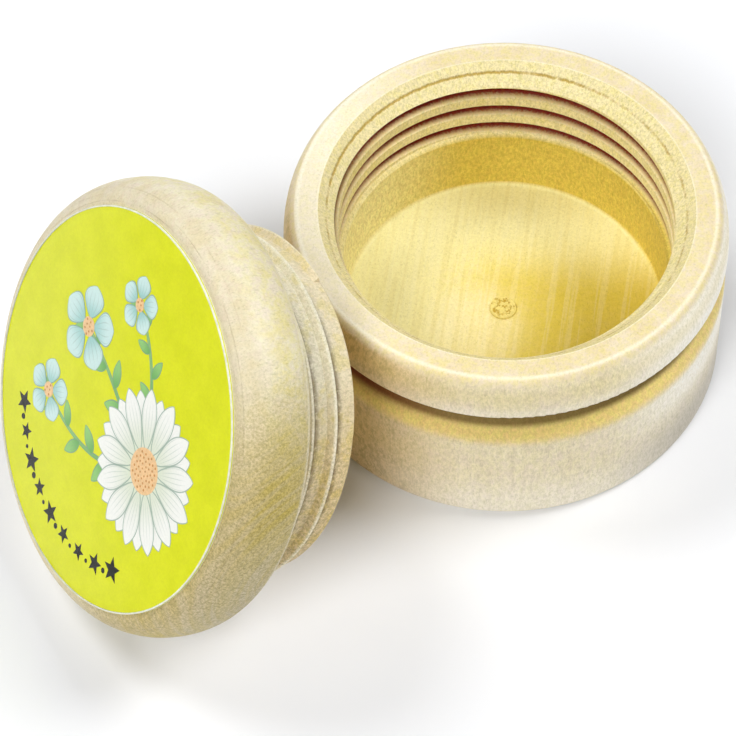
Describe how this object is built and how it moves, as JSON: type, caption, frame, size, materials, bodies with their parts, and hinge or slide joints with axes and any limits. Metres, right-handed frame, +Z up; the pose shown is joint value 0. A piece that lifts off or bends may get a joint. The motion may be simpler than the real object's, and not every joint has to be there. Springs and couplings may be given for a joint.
{
  "type": "milk tooth box",
  "caption": "Turned wooden jar with an internal screw thread and a mushroom-shaped screw lid with a round sticker, lid off beside it.",
  "frame": {"origin": "centre of the jar's base", "axes": "+Z up along the jar's axis; the lid lies at -X, -Y of the jar with its sticker facing -X, -Y and up"},
  "size_m": [0.0729, 0.0679, 0.0409],
  "materials": {
    "jar_wood": "bare turned light wood, satin outside, rougher and warmer inside",
    "lid_wood": "bare turned light wood, satin",
    "adhesive": "dried white adhesive",
    "print": null,
    "gloss_film": "clear glossy protective film"
  },
  "bodies": {
    "jar": {"jar": "jar_wood"},
    "lid_carrier": {"label_adhesive": "adhesive"},
    "lid": {"lid": "lid_wood", "label_print": "print", "label_gloss": "gloss_film"}
  },
  "joints": [
    {"name": "lid_swing", "type": "hinge", "parent": "jar", "child": "lid_carrier", "pos_m": [-0.01517, 0.00278, 0.01], "axis": [-0.6496, 0.3103, 0.6941], "range_deg": [0, 90]},
    {"name": "lid_turn", "type": "hinge", "parent": "lid_carrier", "child": "lid", "pos_m": [-0.03733, -0.02658, 0.02267], "axis": [-0.7612, -0.4342, 0.4818], "continuous": true}
  ]
}
